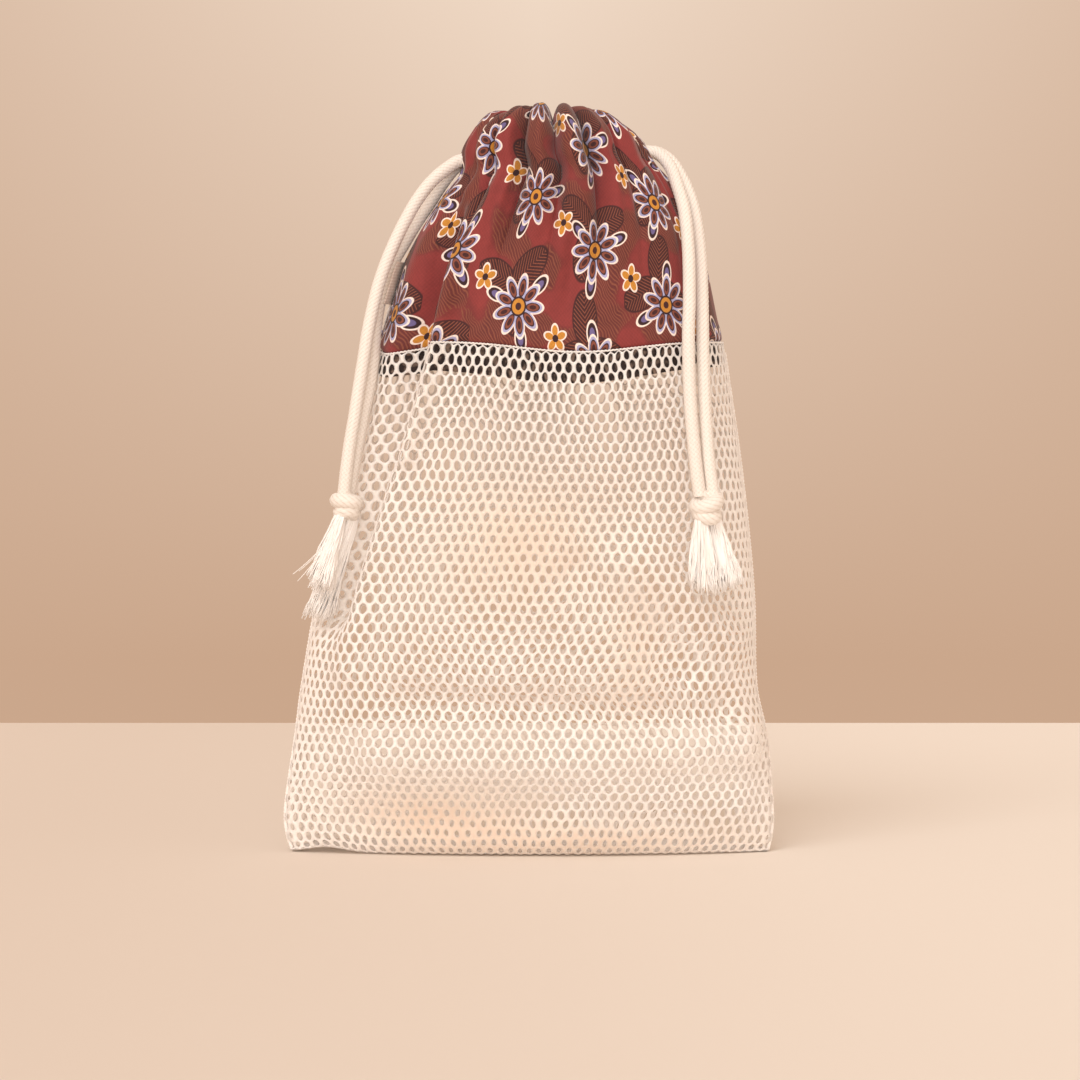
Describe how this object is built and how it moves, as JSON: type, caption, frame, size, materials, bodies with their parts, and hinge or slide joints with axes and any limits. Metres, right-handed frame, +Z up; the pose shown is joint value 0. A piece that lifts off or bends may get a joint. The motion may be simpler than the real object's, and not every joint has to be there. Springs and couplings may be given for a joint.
{
  "type": "drawstring produce bag",
  "caption": "Standing soft bag of cream cotton net with a printed cotton top, pleated shut by drawcords that hang in knots and tassels, for carrying and storing fruit and vegetables.",
  "frame": {"origin": "middle of the base, on the surface that the bag stands on", "axes": "+Z up, +X to the right as seen from the front, and the front faces -Y"},
  "size_m": [0.2091, 0.0973, 0.3204],
  "materials": {
    "net": "matte cotton net, natural cream",
    "printed_cotton": "matte plain-woven cotton, brick red with a small print",
    "cord": "matte braided cotton cord, off-white",
    "label": "satin woven tape, bare"
  },
  "bodies": {
    "root": {"net_front": "net", "net_back": "net", "cotton_top": "printed_cotton", "side_label": "label", "casing_cord_left": "cord", "casing_cord_right": "cord", "cord_left_front": "cord", "cord_left_back": "cord", "cord_right_front": "cord", "cord_right_back": "cord", "knot_left": "cord", "knot_right": "cord", "tassel_left_outer": "cord", "tassel_left_inner": "cord", "tassel_right_inner": "cord", "tassel_right_outer": "cord"}
  },
  "joints": []
}
